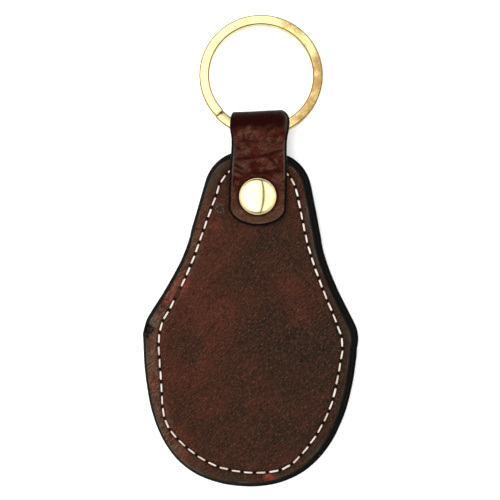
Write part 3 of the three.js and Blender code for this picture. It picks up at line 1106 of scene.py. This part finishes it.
def strap_paint():
    """Glossy red-brown leather, browner where it stands proud, with painted shade in dark red along its
    creases and fold and a painted shadow round the caps.
    """
    paint = Paint("strap_leather_paint")
    pattern = paint.attribute("pattern", "Vector")
    mottle = paint.noise(paint.strokes(pattern, 0.3, 0.6, 1), 0.55, 7, 0.74, 0.4)
    paint.ramp(mottle, [
        (0.38, (56, 12, 9)), (0.46, (77, 31, 23)), (0.53, (84, 49, 37)), (0.66, (102, 72, 56)),
    ])
    wrinkle = paint.noise(paint.strokes(pattern, 0.25, 0.55, 1.3), 0.7, 6, 0.64, 0.6)
    wrinkle = paint.fade(wrinkle, 0.47, 0.38, 0.7)
    # Dark red where the strap is creased, painted shade in its creases, and in streaks of fine
    # wrinkles.
    paint.lay((40, 4, 2), paint.math("MAXIMUM", paint.attribute("crease"), wrinkle))
    from_fold = paint.math("ABSOLUTE", paint.parts(pattern)["Y"])
    paint.wash((108, 80, 60), from_fold, RIVET_ALONG - 1, RIVET_ALONG + 5, 0.4)
    speckle = paint.noise(pattern, 2.1, 5, 0.75)
    paint.wash((34, 8, 5), speckle, 0.49, 0.34, 0.6)
    paint.wash((134, 96, 76), speckle, 0.56, 0.70, 0.4)
    # Very dark red near the fold: painted shade where the strap turns away over it.
    paint.wash((32, 2, 1), paint.ragged(from_fold, 3.0, pattern, 0.45, 5), 6.4, 4.4, 0.97)
    # A dark ring just outside the caps: painted shadow round them.
    paint.wash((40, 14, 5), paint.attribute("rivet"), 5.4, 4.6, 0.85)
    olive_margin(paint, pattern, 0.9, 0.7)
    black_rim(paint, pattern, 0.5)
    height, pebbles = grain(paint, pattern, 2.2)
    paint.wash((24, 8, 5), pebbles, 0.5, 0.0, 0.3)
    rough = paint.scaled(paint.noise(pattern, 0.6), 0.2, 0.27)
    relief = paint.bump(height, 0.09)
    return paint.finished(Roughness=rough, Normal=relief, Specular_IOR_Level=0.02)


def core_paint():
    """Fibrous leather board, dyed black where its edge shows."""
    paint = Paint("core_board_paint")
    pattern = paint.attribute("pattern", "Vector")
    fibres = paint.noise(paint.stretched(pattern, (1, 1, 6)), 1.4, 5, 0.7)
    paint.ramp(fibres, [(0.35, (10, 9, 7)), (0.6, (18, 16, 13)), (0.8, (36, 32, 26))])
    rough, relief = paint.scaled(fibres, 0.3, 0.5), paint.bump(fibres, 0.05)
    return paint.finished(Roughness=rough, Normal=relief, Specular_IOR_Level=0.05)


def thread_paint():
    """Waxed cream thread, a little soiled, with fine fibres."""
    paint = Paint("thread_paint")
    soil = paint.noise(paint.place(), 180, 4, 0.6)
    paint.ramp(soil, [(0.34, (212, 188, 170)), (0.5, (240, 224, 210)), (0.7, (252, 245, 236))])
    relief = paint.bump(paint.noise(paint.place(), 5200, 3, 0.6), 0.03)
    rough = paint.scaled(soil, 0.2, 0.55)
    return paint.finished(Roughness=rough, Normal=relief, Sheen_Weight=0.25)


def gilt_paint(name, base, tarnish, lean, dull, painted_shade=None):
    """Pale gold plating: faint scratches, dull spots, tarnish in patches, painted shade in its corners
    and grooves.

    lean is how much darker the tarnish is painted for each metre towards +X, a painted shade that
    darkens that side, and dull is how rough the scratches leave it.
    """
    paint = Paint(name, gold)
    paint.colour = gold(*base)
    place = paint.place()
    # Tarnish in patches; lean adds painted shade, darker towards +X.
    patches = paint.scaled(paint.parts(place)["X"], lean, paint.noise(place, 230, 5, 0.65))
    paint.wash(tarnish, patches, 0.42, 0.85, 0.95)
    specks = paint.math("MULTIPLY", paint.noise(place, 1300, 5, 0.75), patches)
    paint.wash((150, 108, 54), specks, 0.34, 0.5, 0.6)
    scratches = paint.noise(paint.stretched(place, (1, 6, 1), 0.6), 700, 5, 0.7)
    paint.wash((255, 238, 196), scratches, 0.56, 0.7, 0.35)
    # Lays on the painted shade that the mesh carries, in its given colour.
    if painted_shade:
        paint.lay(painted_shade, paint.attribute("painted_shade"))
    rough = paint.scaled(scratches, dull, 0.02)
    rough = paint.math("ADD", rough, paint.fade(patches, 0.5, 1.0, 0.2))
    return paint.finished(Roughness=rough, Normal=paint.bump(scratches, 0.006), Metallic=1.0)


def make_materials():
    return {
        "front": panel_paint("front_leather_paint", 0, 0.37, FRONT_STAINS, FRONT_MARKS, used=True),
        "back": panel_paint("back_leather_paint", 2.1, 1.7, BACK_STAINS, BACK_MARKS),
        "core": core_paint(),
        "strap": strap_paint(),
        "thread": thread_paint(),
        # The last tint of the cap and of the wire is the colour of their painted shade.
        "cap": gilt_paint("gilt_cap_paint", (249, 236, 184), (230, 198, 122), 0, 0.08, (92, 66, 26)),
        "ring": gilt_paint("gilt_wire_paint", (236, 220, 158), (164, 130, 72), 14, 0.28, (116, 96, 50)),
        "brass": gilt_paint("plain_brass_paint", (208, 178, 104), (150, 112, 52), 0, 0.3),
    }


# -------- studio


def make_floor():
    """A plain pale table top under the keychain."""
    half = 3000.0
    corners = [(-half, -half, 0), (half, -half, 0), (half, half, 0), (-half, half, 0)]
    floor = make_piece("floor", corners, [(0, 1, 2, 3)], Matrix())
    paint = Paint("floor_paint")
    paint.colour = (0.93, 0.93, 0.93, 1)
    floor.data.materials.append(paint.finished(Roughness=0.9, Specular_IOR_Level=0.1))


def softbox(name, place, size, power):
    """A rectangular area light that faces the keychain."""
    light = bpy.data.lights.new(name, "AREA")
    light.shape = "RECTANGLE"
    light.size, light.size_y = size
    light.energy = power
    lamp = added(name, light)
    lamp.visible_glossy = False
    lamp.location = place
    lamp.rotation_euler = (-Vector(place)).to_track_quat("-Z", "Y").to_euler()


def make_light():
    """Soft studio light: a bright sky with a dark slit and dark ends, and softboxes at the sides."""
    world = bpy.data.worlds.new("studio")
    bpy.context.scene.world = world
    world.use_nodes = True
    sky = Nodes(world.node_tree)
    across, along, up = sky.parts(sky.place("Generated"))
    endwise = sky.math("ABSOLUTE", along)
    overhead = sky.fade(up, 0.0, 0.9, 1.0, 0.3)
    strength = sky.math("MAXIMUM", overhead, sky.fade(endwise, 0.70, 0.45, 0.8))
    from_slit = sky.math("ABSOLUTE", sky.math("SUBTRACT", across, 0.19))
    for value, low, high, top, bottom in (
        (across, 0.18, -0.12, 2.0, 1.6),
        (from_slit, 0.016, 0.046, 1.0, 0.08),
        (from_slit, 0.02, 0.20, 1.0, 0.72),
        (endwise, 0.76, 0.93, 0.12, 1.0),
    ):
        strength = sky.math("MULTIPLY", strength, sky.fade(value, low, high, top, bottom))
    strength = sky.math("MAXIMUM", strength, sky.fade(up, 0.10, 0.20, 0.0, 1.1))
    background = world.node_tree.nodes["Background"]
    sky.feed(background.inputs["Color"], (1, 1, 1, 1))
    sky.feed(background.inputs["Strength"], strength)
    softbox("key", (-0.45, 0.20, 0.85), (0.6, 0.9), 9)
    softbox("fill", (0.80, -0.1, 0.45), (0.4, 0.9), 4)


def make_camera():
    """A long lens straight above the fob, turned so that the fob leans to the right."""
    lens, sensor = 200.0, 36.0
    view_width = 121.35
    roll = 2.58
    centre = FOB_FRAME @ (Vector((-1.28, -13.18, 0)) * MM)
    camera = bpy.data.cameras.new("camera")
    camera.lens = lens
    camera.sensor_width = sensor
    camera.clip_end = 10
    eye = added("camera", camera)
    eye.location = (centre.x, centre.y, centre.z + view_width * MM * lens / sensor)
    eye.rotation_euler = (0, 0, math.radians(roll))
    bpy.context.scene.camera = eye


def main():
    bpy.context.scene.view_settings.view_transform = "Standard"
    materials = make_materials()
    make_camera()
    make_floor()
    make_light()
    make_fob(materials)
    make_stitches("front_stitches", 1, materials["thread"], "needle_thread", 5, MISSING_STITCH)
    make_stitches("back_stitches", -1, materials["thread"], "bobbin_thread", 6)
    make_strap(materials)
    make_rivet(materials)
    make_ring(materials)


main()
bpy.context.view_layer.update()
